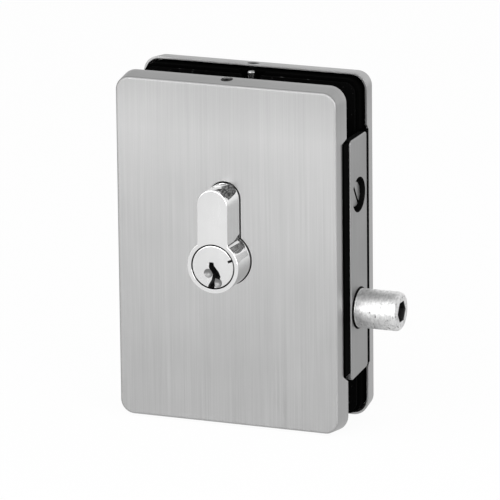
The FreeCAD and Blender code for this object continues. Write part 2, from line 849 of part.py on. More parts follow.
def cam_coupler():
    # Sliding clutch between the two plug tails, with a cross rib on each end.
    core_half = coupler_half - coupler_rib_depth
    rib_reach = plug_tail_radius * 0.8
    core = rod_y(plug_tail_radius - seat_gap, 0, 0, -core_half, core_half)
    rib = box_between(
        (-rib_reach, rib_reach), (-coupler_half, coupler_half), (-coupler_rib_half, coupler_rib_half)
    )
    return fused([core, rib])


def fixing_head_cone(gap):
    # Countersink of the cylinder screw, behind the face plate.
    return Part.makeCone(
        fixing_radius + gap,
        fixing_head_radius + gap,
        fixing_cone,
        Vector(forend_back_x - fixing_cone, 0, fixing_height_z),
        along_x,
    )


def cylinder_screw():
    # Long screw from the face plate into the bridge of the cylinder.
    head_x = forend_back_x + fixing_head_rim
    shank = rod_x(fixing_radius, 0, fixing_height_z, fixing_end_x, forend_back_x)
    rim = rod_x(fixing_head_radius, 0, fixing_height_z, forend_back_x - 0.001, head_x)
    screw = fused([shank, fixing_head_cone(0.0), rim])
    reach = fixing_head_radius
    half = fixing_slot_width / 2
    slot = box_between(
        (head_x - fixing_slot_depth, head_x + 1), (-reach, reach), (fixing_height_z - half, fixing_height_z + half)
    )
    slot.rotate(Vector(head_x, 0, fixing_height_z), along_x, fixing_slot_turn)
    return screw.cut(slot)


def write_part(name, shape):
    solids = shape.Solids
    if not solids or not shape.isValid():
        raise ValueError("bad shape: " + name)
    kept = solids[0] if len(solids) == 1 else Part.makeCompound(solids)
    kept.exportStep("parts/" + name + ".step")
    print(name, len(solids), round(sum(s.Volume for s in solids), 1))


def main():
    os.makedirs("parts", exist_ok=True)
    makers = {
        "front_cover": lambda: cover_tray(-1, relief_front_depth),
        "rear_cover": lambda: cover_tray(1, relief_rear_depth),
        "front_body": lambda: clamp_half(-1, relief_front_depth),
        "rear_body": lambda: clamp_half(1, relief_rear_depth),
        "front_gasket": lambda: gasket(-1),
        "rear_gasket": lambda: gasket(1),
        "forend": face_plate,
        "lock_case": lock_case,
        "case_lid": case_lid,
        "lid_screws": lid_screws,
        "clamp_screws": clamp_screws,
        "cover_screws": cover_screws,
        "stop_screws": stop_screws,
        "leaf_spring": leaf_spring,
        "deadbolt": deadbolt,
        "bolt_carriage": bolt_carriage,
        "bolt_pin": bolt_pin,
        "cylinder_body": cylinder_body,
        "cylinder_screw": cylinder_screw,
        "driver_pins": driver_pins,
        "pin_springs": pin_springs,
        "pin_stoppers": pin_stoppers,
        "cam": cam,
        "cam_coupler": cam_coupler,
    }
    for side, word in ((-1, "front"), (1, "rear")):
        makers[word + "_plug"] = lambda side=side: plug(side)
        makers[word + "_key_pins"] = lambda side=side: key_pins(side)
        makers[word + "_clip"] = lambda side=side: retaining_clip(side)
    for name, make in makers.items():
        write_part(name, make())


main()
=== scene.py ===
# Glass door patch lock: two steel covers on black halves, a profile cylinder and a round bolt.
import math
import bmesh
import bpy
import numpy as np
from mathutils import Matrix, Vector


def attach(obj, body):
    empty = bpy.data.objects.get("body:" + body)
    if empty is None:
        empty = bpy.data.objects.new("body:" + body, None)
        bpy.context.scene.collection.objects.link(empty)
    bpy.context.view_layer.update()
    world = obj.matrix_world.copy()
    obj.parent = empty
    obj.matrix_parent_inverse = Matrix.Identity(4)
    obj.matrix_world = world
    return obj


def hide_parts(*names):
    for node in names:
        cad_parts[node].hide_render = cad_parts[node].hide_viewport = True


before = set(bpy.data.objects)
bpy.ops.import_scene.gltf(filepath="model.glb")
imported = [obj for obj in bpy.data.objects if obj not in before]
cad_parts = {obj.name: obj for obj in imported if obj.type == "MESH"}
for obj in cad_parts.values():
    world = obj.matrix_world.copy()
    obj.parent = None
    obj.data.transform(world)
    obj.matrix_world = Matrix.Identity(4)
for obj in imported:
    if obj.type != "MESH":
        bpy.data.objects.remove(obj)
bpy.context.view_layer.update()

mm = 0.001  # every size below is in millimetres


# Outlines

def arcPoints(centreA, centreB, radius, fromDeg, toDeg, count):
    # centre plus radius times cosine and sine, in equal steps of the angle
    angle = np.radians(np.linspace(fromDeg, toDeg, count))
    return np.column_stack([centreA + radius * np.cos(angle), centreB + radius * np.sin(angle)])


def roundedOutline(halfWide, halfHigh, corner, marks=(), steps=13, tall=24, wide=16):
    # four quarter circles joined by straight runs of tall and wide points, anticlockwise;
    # marks are extra heights on the right run
    inA = halfWide - corner
    inB = halfHigh - corner
    heights = np.array(sorted(list(np.linspace(-inB, inB, tall)[1:-1]) + list(marks)))
    right = np.column_stack([np.full(len(heights), halfWide), heights])
    across = np.linspace(inA, -inA, wide)[1:-1]
    top = np.column_stack([across, np.full(len(across), halfHigh)])
    down = np.linspace(inB, -inB, tall)[1:-1]
    left = np.column_stack([np.full(len(down), -halfWide), down])
    parts = [
        right, arcPoints(inA, inB, corner, 0, 90, steps),
        top, arcPoints(-inA, inB, corner, 90, 180, steps),
        left, arcPoints(-inA, -inB, corner, 180, 270, steps),
        top[::-1] * (1, -1), arcPoints(inA, -inB, corner, 270, 360, steps),
    ]
    return np.vstack(parts)


def roundedNormals(points, halfWide, halfHigh, corner):
    # outward direction: how far a point lies past the straight runs, made one long
    past = np.maximum(np.abs(points) - (halfWide - corner, halfHigh - corner), 0.0)
    length = np.maximum(np.linalg.norm(past, axis=1, keepdims=True), 1e-9)
    return past / length * np.sign(points)


def lockProfile(barrel, halfLeg, top, steps, legSteps=10):
    # barrel circle, straight leg sides and a half circle on the end of the leg, anticlockwise
    joint = math.degrees(math.asin(halfLeg / barrel))
    low = math.sqrt(barrel ** 2 - halfLeg ** 2)
    heights = np.linspace(low, top - halfLeg, legSteps)[1:-1]
    side = np.column_stack([np.full(len(heights), halfLeg), heights])
    parts = [
        arcPoints(0, 0, barrel, -90, 90 - joint, steps), side,
        arcPoints(0, top - halfLeg, halfLeg, 0, 180, steps // 2),
        side[::-1] * (-1, 1), arcPoints(0, 0, barrel, 90 + joint, 270, steps)[:-1],
    ]
    return np.vstack(parts)


def bearings(outline, centre):
    # the angle of each point as seen from the centre
    away = outline - np.asarray(centre, float)
    return np.arctan2(away[:, 1], away[:, 0])


def alongRays(outline, angles, centre):
    # a ray crosses the side from A to B at the share cross(A, ray) / (cross(A, ray) - cross(B, ray))
    away = outline - np.asarray(centre, float)
    turn = np.unwrap(np.arctan2(away[:, 1], away[:, 0]))
    turn = np.append(turn, turn[0] + 2 * np.pi)
    loop = np.vstack([away, away[:1]])
    wanted = turn[0] + np.mod(angles - turn[0], 2 * np.pi)
    after = np.clip(np.searchsorted(turn, wanted, side="right"), 1, len(turn) - 1)
    first, second = loop[after - 1], loop[after]
    ray = np.column_stack([np.cos(wanted), np.sin(wanted)])
    crossA = first[:, 0] * ray[:, 1] - first[:, 1] * ray[:, 0]
    crossB = second[:, 0] * ray[:, 1] - second[:, 1] * ray[:, 0]
    gap = np.where(np.abs(crossA - crossB) < 1e-12, 1.0, crossA - crossB)
    share = np.clip(crossA / gap, 0, 1)[:, None]
    return np.asarray(centre, float) + first + (second - first) * share


def sharedAngles(*groups, closest=0.0012):
    # every outline's own corners become columns; columns closer than that many radians merge
    angles = np.sort(np.mod(np.concatenate(groups), 2 * np.pi))
    kept = np.concatenate([[True], np.diff(angles) > closest])
    return angles[kept]


def roundSteps(radius, degrees):
    # what a quarter circle lacks along and across at the angle a: radius (1 - sin a), radius (1 - cos a)
    turns = [math.radians(d) for d in degrees]
    return [(radius * (1 - math.sin(a)), radius * (1 - math.cos(a))) for a in turns]


# Meshes

sharpAngle = math.radians(32)  # an edge stays crisp where its faces turn by more


def newObject(name, data):
    made = bpy.data.objects.new(name, data)
    bpy.context.scene.collection.objects.link(made)
    return made


def shadeByAngle(mesh):
    mesh.polygons.foreach_set("use_smooth", np.ones(len(mesh.polygons), bool))
    mesh.set_sharp_from_angle(angle=sharpAngle)


def closedPiece(name, mesh):
    # doubles merge and faces turn outwards
    work = bmesh.new()
    work.from_mesh(mesh)
    bmesh.ops.remove_doubles(work, verts=work.verts, dist=1e-7)
    bmesh.ops.recalc_face_normals(work, faces=work.faces)
    work.to_mesh(mesh)
    work.free()
    shadeByAngle(mesh)
    return newObject(name, mesh)


def gridPiece(name, rows, closeRows=False):
    # quads between neighbours of a (rows, columns, 3) array whose columns close; open ends get one face
    rows = np.asarray(rows, float) * mm
    count, across = rows.shape[:2]
    index = np.arange(count * across).reshape(count, across)
    beside = np.roll(index, -1, axis=1)
    if closeRows:
        quads = np.stack([index, beside, np.roll(beside, -1, axis=0), np.roll(index, -1, axis=0)], axis=-1)
    else:
        quads = np.stack([index[:-1], beside[:-1], beside[1:], index[1:]], axis=-1)
    faces = quads.reshape(-1, 4).tolist()
    if not closeRows:
        faces += [index[0, ::-1].tolist(), index[-1].tolist()]
    mesh = bpy.data.meshes.new(name)
    mesh.from_pydata(rows.reshape(-1, 3).tolist(), [], faces)
    return closedPiece(name, mesh)


def acrossY(outline, y):
    # an outline in X and Z becomes a ring at depth y; y may differ from column to column
    return np.column_stack([outline[:, 0], np.broadcast_to(y, len(outline)), outline[:, 1]])


def acrossX(outline, x):
    # the same for an outline in Y and Z at the place x
    return np.column_stack([np.broadcast_to(x, len(outline)), outline[:, 0], outline[:, 1]])


def turned(name, profile, axis, centre, count, flats=()):
    # each (along, radius) of the profile swept round the axis; rows named in flats are hexagons,
    # whose radius is half the flats over the cosine of the angle from the nearest flat
    angle = np.linspace(0, 2 * np.pi, count, endpoint=False)
    along = np.array([p[0] for p in profile], float)
    radius = np.repeat(np.array([[p[1]] for p in profile], float), count, axis=1)
    fromFlat = np.mod(angle, math.pi / 3) - math.pi / 6
    for row in flats:
        radius[row] = radius[row] / np.cos(fromFlat)
    alongGrid = np.repeat(along[:, None], count, axis=1)
    first = radius * np.cos(angle)
    second = radius * np.sin(angle)
    order = [first, second]
    order.insert("xyz".index(axis), alongGrid)
    return gridPiece(name, np.stack(order, axis=-1) + np.asarray(centre, float))


def rod(axis, centre, radius, start, end, count=48):
    # a plain round cutter
    return turned("cutter", [(start, radius), (end, radius)], axis, centre, count)


def block(low, high):
    # a plain cutter: four corners at two depths
    square = np.array([[low[0], low[2]], [high[0], low[2]], [high[0], high[2]], [low[0], high[2]]], float)
    return gridPiece("cutter", [acrossY(square, low[1]), acrossY(square, high[1])])


def cutAway(piece, cutters):
    # takes the cutters out of the piece for good; a cutter's own material lines the cut
    for cutter in cutters:
        step = piece.modifiers.new("cut", "BOOLEAN")
        step.operation = "DIFFERENCE"
        step.solver = "EXACT"
        step.material_mode = "TRANSFER"
        step.object = cutter
    bpy.context.view_layer.update()
    graph = bpy.context.evaluated_depsgraph_get()
    whole = bpy.data.meshes.new_from_object(piece.evaluated_get(graph))
    piece.modifiers.clear()
    old = piece.data
    whole.name = piece.name
    piece.data = whole
    bpy.data.meshes.remove(old)
    for cutter in cutters:
        bpy.data.meshes.remove(cutter.data)
    shadeByAngle(whole)
    return piece


def joined(name, pieces):
    # several shells as one piece
    work = bmesh.new()
    for piece in pieces:
        work.from_mesh(piece.data)
    mesh = bpy.data.meshes.new(name)
    work.to_mesh(mesh)
    work.free()
    whole = newObject(name, mesh)
    for material in pieces[0].data.materials:
        painted(whole, material)
    for piece in pieces:
        bpy.data.meshes.remove(piece.data)
    shadeByAngle(mesh)
    return whole


def painted(piece, material):
    piece.data.materials.append(material)
    return piece


def faceCentres(piece):
    # one row for each face, in millimetres
    centres = np.empty(len(piece.data.polygons) * 3)
    piece.data.polygons.foreach_get("center", centres)
    return centres.reshape(-1, 3) / mm


def paintFaces(piece, material, chosen):
    # gives a material to the chosen faces and leaves the others as they are
    index = np.empty(len(chosen), np.int32)
    piece.data.polygons.foreach_get("material_index", index)
    index[chosen] = len(piece.data.materials)
    painted(piece, material).data.polygons.foreach_set("material_index", index)


def finishPiece(piece, body, nodes):
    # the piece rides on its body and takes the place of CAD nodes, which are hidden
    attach(piece, body)
    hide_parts(*nodes)
    return piece


# Materials

def newNode(tree, kind, values=None):
    # a node with these inputs set by name
    node = tree.nodes.new(kind)
    for socket, value in (values or {}).items():
        node.inputs[socket].default_value = value
    return node


def startMaterial(name, metallic, roughness, gloss=None):
    # gloss is how much a coat or rubber mirrors; metals need none
    made = bpy.data.materials.new(name)
    made.use_nodes = True
    shader = made.node_tree.nodes["Principled BSDF"]
    shader.inputs["Metallic"].default_value = metallic
    shader.inputs["Roughness"].default_value = roughness
    if gloss is not None:
        shader.inputs["Specular IOR Level"].default_value = gloss
    return made, made.node_tree, shader


def noiseField(tree, grains, detail=3.0, turn=(0, 0, 0)):
    # noise on Object coordinates, with so many grains per metre along each axis or along all three
    spread = grains if isinstance(grains, tuple) else (grains, grains, grains)
    place = newNode(tree, "ShaderNodeTexCoord")
    mapping = newNode(tree, "ShaderNodeMapping", {"Scale": spread, "Rotation": turn})
    noise = newNode(tree, "ShaderNodeTexNoise", {"Scale": 1.0, "Detail": detail})
    tree.links.new(place.outputs["Object"], mapping.inputs["Vector"])
    tree.links.new(mapping.outputs["Vector"], noise.inputs["Vector"])
    return noise.outputs["Fac"]


def objectPlace(tree, axis):
    # one Object coordinate, in metres
    place = newNode(tree, "ShaderNodeTexCoord")
    parts = newNode(tree, "ShaderNodeSeparateXYZ")
    tree.links.new(place.outputs["Object"], parts.inputs["Vector"])
    return parts.outputs[axis]


def reckoned(tree, operation, *values):
    # one sum, product or the like of the values
    node = newNode(tree, "ShaderNodeMath")
    node.operation = operation
    for socket, value in zip(node.inputs, values):
        tree.links.new(value, socket)
    return node.outputs["Value"]


def toRange(tree, value, low, high, fromLow=0.3, fromHigh=0.7):
    # low + (high - low) (value - fromLow) / (fromHigh - fromLow), held between low and high
    limits = {"From Min": fromLow, "From Max": fromHigh, "To Min": low, "To Max": high}
    ranged = newNode(tree, "ShaderNodeMapRange", limits)
    tree.links.new(value, ranged.inputs["Value"])
    return ranged.outputs["Result"]


def toColour(tree, value, dark, light, low=0.3, high=0.7):
    # a straight blend from dark at the low value to light at the high one
    ramp = newNode(tree, "ShaderNodeValToRGB")
    first, second = ramp.color_ramp.elements
    first.position, second.position = low, high
    first.color, second.color = (*dark, 1), (*light, 1)
    tree.links.new(value, ramp.inputs["Fac"])
    return ramp.outputs["Color"]


def blended(tree, first, second, how="MULTIPLY"):
    # two colours multiplied, or put together in the way that is named
    mix = newNode(tree, "ShaderNodeMix")
    mix.data_type = "RGBA"
    mix.blend_type = how
    mix.inputs["Factor"].default_value = 1.0
    tree.links.new(first, mix.inputs["A"])
    tree.links.new(second, mix.inputs["B"])
    return mix.outputs["Result"]


def grey(level):
    return (level, level, level)


def toned(tree, colour, value, dark, light=1.0, low=0.3, high=0.7):
    # the colour times a grey that runs from dark at the low value to light at the high one
    return blended(tree, colour, toColour(tree, value, grey(dark), grey(light), low, high))


def addBump(tree, shader, height, strength, depth=0.0002, below=None):
    bump = newNode(tree, "ShaderNodeBump", {"Strength": strength, "Distance": depth})
    tree.links.new(height, bump.inputs["Height"])
    if below is not None:
        tree.links.new(below, bump.inputs["Normal"])
    tree.links.new(bump.outputs["Normal"], shader.inputs["Normal"])
    return bump.outputs["Normal"]


def dressSurface(tree, shader, colour, sheen, height, strength):
    # base colour, changing roughness and fine relief
    tree.links.new(colour, shader.inputs["Base Color"])
    tree.links.new(sheen, shader.inputs["Roughness"])
    addBump(tree, shader, height, strength)


def brushedSteel(name, level, along, roughness, patch, lineDepth=0.03, lineShare=0.075, topShade=None):
    # fine lines along one axis, over slow patches of a slightly different grey
    made, tree, shader = startMaterial(name, 1.0, roughness)

    def drawnOut(across, lengthwise):
        return tuple(lengthwise if axis == along else across for axis in "xyz")

    lines = noiseField(tree, drawnOut(5200.0, 30.0), detail=4.0)
    bands = noiseField(tree, drawnOut(1400.0, 9.0), detail=2.0)
    patches = noiseField(tree, 28.0, detail=2.0)
    colour = toColour(tree, lines, grey(level * (1 - lineShare)), grey(level * (1 + lineShare)))
    colour = toned(tree, colour, bands, 0.96)
    colour = toned(tree, colour, patches, 1 - patch)
    if topShade is not None:
        # painted shade: a little darker towards the top
        start, stop, share = topShade
        height = toRange(tree, objectPlace(tree, "Z"), 0.0, 1.0, start * mm, stop * mm)
        colour = toned(tree, colour, height, 1.0, 1 - share, 0.0, 1.0)
    sheen = toRange(tree, lines, roughness - 0.04, roughness + 0.06)
    dressSurface(tree, shader, colour, sheen, lines, lineDepth)
    return made


def satinNickel(name, level, roughness):
    # plated metal: smooth, with a faint cloudiness and hair-fine handling marks
    made, tree, shader = startMaterial(name, 1.0, roughness)
    clouds = noiseField(tree, 90.0)
    hairs = noiseField(tree, (700.0, 700.0, 60.0), turn=(0.4, 0.2, 0.0))
    colour = toColour(tree, clouds, grey(level * 0.93), grey(level))
    sheen = toRange(tree, hairs, roughness - 0.04, roughness + 0.05)
    dressSurface(tree, shader, colour, sheen, hairs, 0.03)
    return made


def turnedSteel(name, level, roughness):
    # rings left by the lathe across X
    made, tree, shader = startMaterial(name, 1.0, roughness)
    rings = noiseField(tree, (4200.0, 60.0, 60.0))
    clouds = noiseField(tree, 160.0)
    colour = toned(tree, toColour(tree, rings, grey(level * 0.93), grey(level)), clouds, 0.92)
    sheen = toRange(tree, rings, roughness - 0.03, roughness + 0.06)
    dressSurface(tree, shader, colour, sheen, rings, 0.05)
    return made


def wornBolt(name, level, roughness, fresh, worn, wear):
    # lathe rings and a mottled plating; dark pits grow thicker between the places fresh and worn on X
    made, tree, shader = startMaterial(name, 1.0, roughness)
    rings = noiseField(tree, (3400.0, 240.0, 240.0))
    mottle = noiseField(tree, (1050.0, 760.0, 760.0), detail=4.0)
    pits = noiseField(tree, (1250.0, 850.0, 850.0), detail=4.0)
    depth = toRange(tree, objectPlace(tree, "X"), 0.0, wear, fresh * mm, worn * mm)
    colour = toColour(tree, rings, grey(level * 0.82), grey(level))
    colour = toned(tree, colour, mottle, 0.78, 1.0, 0.36, 0.56)
    colour = toned(tree, colour, reckoned(tree, "ADD", pits, depth), 1.0, 0.2, 0.66, 0.77)
    tree.links.new(colour, shader.inputs["Base Color"])
    tree.links.new(toRange(tree, mottle, roughness + 0.1, roughness - 0.06), shader.inputs["Roughness"])
    first = addBump(tree, shader, mottle, 0.35, 0.0003)
    addBump(tree, shader, rings, 0.12, below=first)
    return made


def coatedCasting(name, level, roughness, gloss, grain=0.15):
    # sprayed coat on a casting: fine orange peel and slow changes of sheen
    made, tree, shader = startMaterial(name, 0.0, roughness, gloss)
    peel = noiseField(tree, 2300.0, detail=2.0)
    slow = noiseField(tree, 60.0, detail=2.0)
    colour = toColour(tree, slow, grey(level * 0.75), grey(level * 1.2))
    sheen = toRange(tree, slow, roughness - 0.05, roughness + 0.08)
    dressSurface(tree, shader, colour, sheen, peel, grain)
    return made


def rubberSheet(name, level):
    # moulded sheet: dull, with a very fine tooth, a slow tint and a few pale specks that are painted glints
    made, tree, shader = startMaterial(name, 0.0, 0.75, 0.03)
    tooth = noiseField(tree, 3600.0)
    dust = noiseField(tree, 110.0, detail=4.0)
    # painted highlight: pale specks stand in for glints
    glintSpecks = toColour(tree, noiseField(tree, 560.0), grey(0.0), grey(0.09), 0.66, 0.74)
    tint = toColour(tree, dust, grey(level * 0.8), grey(level * 1.3))
    colour = blended(tree, tint, glintSpecks, "ADD")
    dressSurface(tree, shader, colour, toRange(tree, tooth, 0.68, 0.85), tooth, 0.2)
    return made


def plainMetal(name, colour, roughness):
    # small parts: tumbled finish with slow tarnish
    made, tree, shader = startMaterial(name, 1.0, roughness)
    tarnish = noiseField(tree, 210.0, detail=4.0)
    tumble = noiseField(tree, 1800.0, detail=2.0)
    tint = toColour(tree, tarnish, tuple(v * 0.8 for v in colour), colour)
    sheen = toRange(tree, tumble, roughness - 0.05, roughness + 0.07)
    dressSurface(tree, shader, tint, sheen, tumble, 0.04)
    return made


# topShade: the heights in millimetres where the painted darker shade starts and is full, and its share
steelFinish = {"level": 0.44, "along": "z", "roughness": 0.41, "patch": 0.09, "topShade": (40, 57, 0.18)}
forendFinish = {
    "level": 0.36, "along": "z", "roughness": 0.44, "lineDepth": 0.05, "lineShare": 0.12, "patch": 0.16,
}
boltFinish = {"level": 0.86, "roughness": 0.44, "fresh": 40, "worn": 62, "wear": 0.13}
coverSteel = brushedSteel("brushedCoverSteel", **steelFinish)
forendSteel = brushedSteel("mattForendSteel", **forendFinish)
nickelShell = satinNickel("nickelShell", level=0.9, roughness=0.09)
nickelPlug = satinNickel("nickelPlug", level=0.88, roughness=0.12)
boltSteel = wornBolt("wornBoltSteel", **boltFinish)
# painted shade and reflection: the scoops beside the key slot are much darker than the plug's nickel
scoopShade = satinNickel("shadedScoopNickel", level=0.24, roughness=0.35)
# painted shade: the bolt's six-sided socket is much darker than the bolt
socketShade = turnedSteel("shadedSocketSteel", level=0.1, roughness=0.42)
screwBright = turnedSteel("brightScrewSteel", level=0.75, roughness=0.2)
screwDull = turnedSteel("dullScrewSteel", level=0.34, roughness=0.4)
screwDark = coatedCasting("darkScrewCoat", level=0.003, roughness=0.45, grain=0.05, gloss=0.06)
blackCoat = coatedCasting("blackHalfCoat", level=0.0008, roughness=0.7, gloss=0.006)
caseCoat = coatedCasting("darkCaseCoat", level=0.012, roughness=0.5, gloss=0.2)
gasketRubber = rubberSheet("gasketRubber", level=0.0012)
# painted shade: this near-black lining stands in for the shade in holes, slots, gaps and hidden faces
slotShade = coatedCasting("paintedShadeLining", level=0.004, roughness=0.5, grain=0.05, gloss=0.05)
springSteel = plainMetal("springSteel", (0.42, 0.42, 0.43), roughness=0.3)
zincPlate = plainMetal("zincPlatedSteel", (0.55, 0.56, 0.58), roughness=0.34)
camSteel = plainMetal("sinteredCamSteel", (0.34, 0.33, 0.32), roughness=0.5)
pinBrass = plainMetal("turnedPinBrass", (0.72, 0.55, 0.25), roughness=0.28)
print("materials ready:", len(bpy.data.materials))

# every CAD node has its finish, also those that finer pieces replace further down
nodeFinish = {
    "front_body": blackCoat, "rear_body": blackCoat,
    "front_gasket": gasketRubber, "rear_gasket": gasketRubber,
    "lock_case": caseCoat, "case_lid": caseCoat, "lid_screws": screwBright,
    "clamp_screws": screwBright, "cover_screws": screwDark, "stop_screws": screwDark,
    "leaf_spring": springSteel, "bolt_carriage": zincPlate, "bolt_pin": zincPlate,
    "driver_pins": pinBrass, "pin_springs": springSteel, "pin_stoppers": nickelPlug,
    "front_key_pins": pinBrass, "rear_key_pins": pinBrass,
    "front_clip": springSteel, "rear_clip": springSteel,
    "cam": camSteel, "cam_coupler": camSteel,
    "front_cover": coverSteel, "rear_cover": coverSteel, "forend": forendSteel,
    "deadbolt": boltSteel, "cylinder_body": nickelShell, "cylinder_screw": screwBright,
    "front_plug": nickelPlug, "rear_plug": nickelPlug,
}
for nodeName, finish in nodeFinish.items():
    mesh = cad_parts[nodeName].data
    mesh.materials.clear()
    mesh.materials.append(finish)
print("finishes set on", len(nodeFinish), "nodes")


# Places that several pieces share

places = {"boltZ": -16.5, "screwZ": 20.0, "grubX": -0.7, "grubY": 11.2, "cylinderEnd": 26.5, "pinHole": 1.5}
over = 1.0  # a cutter reaches this far past the surface that it opens


# Covers

cover = {
    "halfWide": 37.5, "halfHigh": 55.5, "corner": 5.3, "centre": (0.5, 1.0), "hub": (0.0, 3.0),
    "rim": 9.0, "face": 16.0, "sheet": 0.8, "draft": 0.85, "edge": 0.7, "rimEdge": 0.12,
    "faceRows": (0.08, 0.6), "opening": 0.25, "lip": 0.18,
    "reliefHalf": 39.0, "topSlant": 1.1, "lowSlant": 2.0, "frontRelief": 3.0, "rearRelief": 1.0,
    "holeRadius": 1.9, "holeReach": 3.0,
}
profile = {"barrel": 8.5, "halfLeg": 5.0, "top": 24.5, "steps": 48}


def grownProfile(by):
    # the lock's profile with each of its radii and its height made larger by the same amount
    p = profile
    return lockProfile(p["barrel"] + by, p["halfLeg"] + by, p["top"] + by, p["steps"])


def coverTray(name, side, relief):
    # The outline is pushed in along its own normal by the wall's draft and by a quarter circle at the
    # face edge; on the bolt side the rim starts deeper by the relief, which ramps in at both ends.
    c = cover
    topEnd = c["reliefHalf"] - min(c["topSlant"], relief)
    lowEnd = c["reliefHalf"] - min(c["lowSlant"], relief)
    marks = [c["reliefHalf"], topEnd, -c["reliefHalf"], -lowEnd]
    outer = roundedOutline(c["halfWide"], c["halfHigh"], c["corner"], marks) + c["centre"]
    angles = sharedAngles(bearings(outer, c["hub"]), bearings(grownProfile(c["opening"]), c["hub"]))
    outer = alongRays(outer, angles, c["hub"])
    normal = roundedNormals(outer - c["centre"], c["halfWide"], c["halfHigh"], c["corner"])
    height = outer[:, 1] - c["centre"][1]
    end = np.where(height > 0, topEnd, lowEnd)
    ramp = np.clip((c["reliefHalf"] - np.abs(height)) / (c["reliefHalf"] - end), 0, 1)
    ramp = np.where(normal[:, 0] > 0.99, ramp, 0.0)  # only the wall on the bolt side has a relief
    rimY = c["rim"] + relief * ramp
    rimEnd = rimY + c["rimEdge"]
    edgeY = c["face"] - c["edge"]
    slope = c["draft"] / (c["face"] - c["rim"])
    rows = []

    def wall(y, inset):
        push = np.broadcast_to(inset + slope * (np.minimum(y, edgeY) - c["rim"]), len(outer))
        rows.append(acrossY(outer - normal * push[:, None], side * y))

    def opening(spread, y):
        rows.append(acrossY(alongRays(grownProfile(c["opening"] + spread), angles, c["hub"]), side * y))

    for along, inset in roundSteps(c["rimEdge"], (90, 60, 30, 0)):
        wall(rimY + along, inset)
    for share in (0.35, 0.7, 1.0):
        wall(rimEnd + (edgeY - rimEnd) * share, 0.0)
    for along, inset in roundSteps(c["edge"], range(15, 91, 15)):
        wall(c["face"] - along, inset)
    for inset in c["faceRows"]:
        wall(c["face"], c["edge"] + inset)
    for spread in (*c["faceRows"][::-1], 0.0):
        opening(c["lip"] + spread, c["face"])
    for along, inset in roundSteps(c["lip"], (30, 60, 90)):
        opening(along, c["face"] - inset)
    innerY = c["face"] - c["sheet"]
    opening(0.0, innerY)
    wall(innerY, c["sheet"])
    wall(rimEnd, c["sheet"])
    wall(rimY, c["sheet"] - c["rimEdge"])
    tray = painted(gridPiece(name, rows, closeRows=True), coverSteel)
    holes = []
    for end in (-1, 1):
        wallZ = c["centre"][1] + end * c["halfHigh"]
        middle = (places["grubX"], side * places["grubY"], wallZ)
        holes.append(painted(rod("z", middle, c["holeRadius"], -c["holeReach"], c["holeReach"]), coverSteel))
    return cutAway(tray, holes)


finishPiece(coverTray("frontCoverTray", -1, cover["frontRelief"]), "housing", ["front_cover"])
finishPiece(coverTray("rearCoverTray", 1, cover["rearRelief"]), "housing", ["rear_cover"])
print("covers made")


# Face plate

forend = {
    "halfWide": 7.1, "halfHigh": 38.55, "corner": 1.2, "centreZ": 0.1, "back": 36.1, "face": 38.5,
    "edge": 0.35, "backEdge": 0.1, "faceRow": 0.08, "endSlant": 1.2, "slantFrom": -30, "slantOver": 5,
    "boltHole": 6.45, "boltEdge": 0.25, "screwHole": 5.45, "screwEdge": 0.15,
    "pegZ": (27.8, -28.3), "pegHole": 1.62, "pegDepth": 1.22, "shadeEnd": 0.7,
}


def facePlate(name):
    # rounded outline at each depth, drawn in by a small round at the front edge, with both ends closed;
    # the lower end rises to the rear by the slant times the share of the width
    f = forend
    outline = roundedOutline(f["halfWide"], f["halfHigh"], f["corner"], steps=9)
    normal = roundedNormals(outline, f["halfWide"], f["halfHigh"], f["corner"])
    rise = f["endSlant"] * (outline[:, 0] + f["halfWide"]) / (2 * f["halfWide"])
    outline = outline + (0, f["centreZ"])
    outline[:, 1] += rise * np.clip(f["slantFrom"] - outline[:, 1], 0, f["slantOver"]) / f["slantOver"]
    rows = [acrossX(outline - normal * f["backEdge"], f["back"]), acrossX(outline, f["back"] + f["backEdge"])]
    for along, inset in roundSteps(f["edge"], (0, 22.5, 45, 67.5, 90)):
        rows.append(acrossX(outline - normal * inset, f["face"] - along))
    rows.append(acrossX(outline - normal * (f["edge"] + f["faceRow"]), f["face"]))
    plate = painted(gridPiece(name, rows), forendSteel)
    # painted shade: the top end face behind the front round takes the dark lining, as if shaded by the
    # casting
    centres = faceCentres(plate)
    topEnd = centres[:, 2] > f["centreZ"] + f["halfHigh"] - f["shadeEnd"]
    paintFaces(plate, slotShade, topEnd & (centres[:, 0] < f["face"] - f["edge"] - f["backEdge"]))
    # painted shade: the holes in the plate are lined dark
    cutters = []
    for z, radius, edge in ((places["boltZ"], f["boltHole"], f["boltEdge"]),
                            (places["screwZ"], f["screwHole"], f["screwEdge"])):
        mouth = [(f["back"] - over, radius), (f["face"] - edge, radius), (f["face"], radius + edge),
                 (f["face"] + over, radius + edge)]
        cutters.append(turned("cutter", mouth, "x", (0, 0, z), 72))
    for z in f["pegZ"]:
        cutters.append(rod("x", (0, 0, z), f["pegHole"], f["back"] - over, f["back"] + f["pegDepth"]))
    return cutAway(plate, [painted(cutter, slotShade) for cutter in cutters])


finishPiece(facePlate("facePlateBar"), "housing", ["forend"])
print("face plate made")


# Bolt

bolt = {
    "radius": 6.2, "end": 52.5, "tail": 25.5, "tailEdge": 0.4, "nose": 1.3, "rows": (30.0, 43.0, 47.0),
    "flats": 6.0, "socket": 4.0, "socketEdge": (0.15, 0.12), "drillPoint": 0.5,
    "slotHalf": 1.52, "slotLength": 7.52, "pinX": 29.25, "pinHole": 1.52,
    "ringX": 39.0, "ringWide": 0.6, "ringDepth": 0.2, "shadeBelt": 1.5,
}


